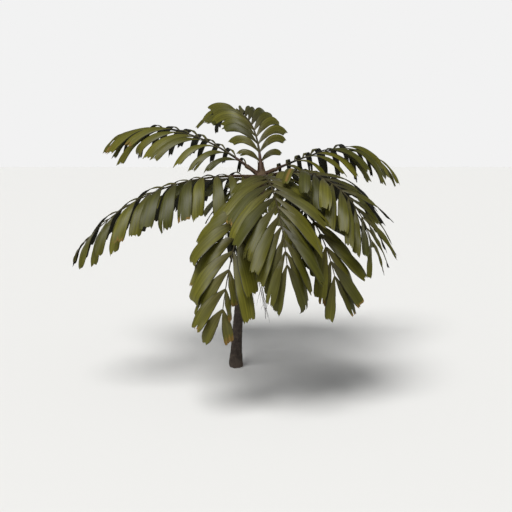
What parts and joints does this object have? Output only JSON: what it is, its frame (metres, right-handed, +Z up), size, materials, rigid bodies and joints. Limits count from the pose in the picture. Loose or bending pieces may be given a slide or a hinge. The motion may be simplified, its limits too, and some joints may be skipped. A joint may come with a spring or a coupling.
{
  "type": "palm tree",
  "caption": "Young feather-leaved palm: a thin leaning trunk with a flared foot, cut flat at ground level, and a full crown of arching fronds with hanging strap-shaped leaflets.",
  "frame": {"origin": "middle of the flat cut under the trunk, at ground level", "axes": "+Z up, the trunk leans towards +X, the front of the crown faces -Y"},
  "size_m": [2.4799, 2.1987, 1.9821],
  "materials": {
    "trunk": "rough ringed bark, dark grey-brown",
    "frond": "satin leathery leaf, olive green",
    "flower_stalk": "dry, matt, dark brown"
  },
  "bodies": {
    "root": {"trunk": "trunk", "front_frond_inner": "frond", "front_frond_outer": "frond", "front_left_frond_inner": "frond", "front_left_frond_outer": "frond", "front_right_frond_inner": "frond", "front_right_frond_outer": "frond", "right_front_frond_inner": "frond", "right_front_frond_outer": "frond", "left_frond_inner": "frond", "left_frond_outer": "frond", "left_back_frond_inner": "frond", "left_back_frond_outer": "frond", "right_back_frond_inner": "frond", "right_back_frond_outer": "frond", "back_frond_inner": "frond", "back_frond_outer": "frond", "right_frond_inner": "frond", "right_frond_outer": "frond", "rear_right_frond_inner": "frond", "rear_right_frond_outer": "frond", "rear_frond_inner": "frond", "rear_frond_outer": "frond", "rear_left_frond_inner": "frond", "rear_left_frond_outer": "frond", "left_flower_stalk": "flower_stalk", "right_flower_stalk": "flower_stalk"}
  },
  "joints": []
}
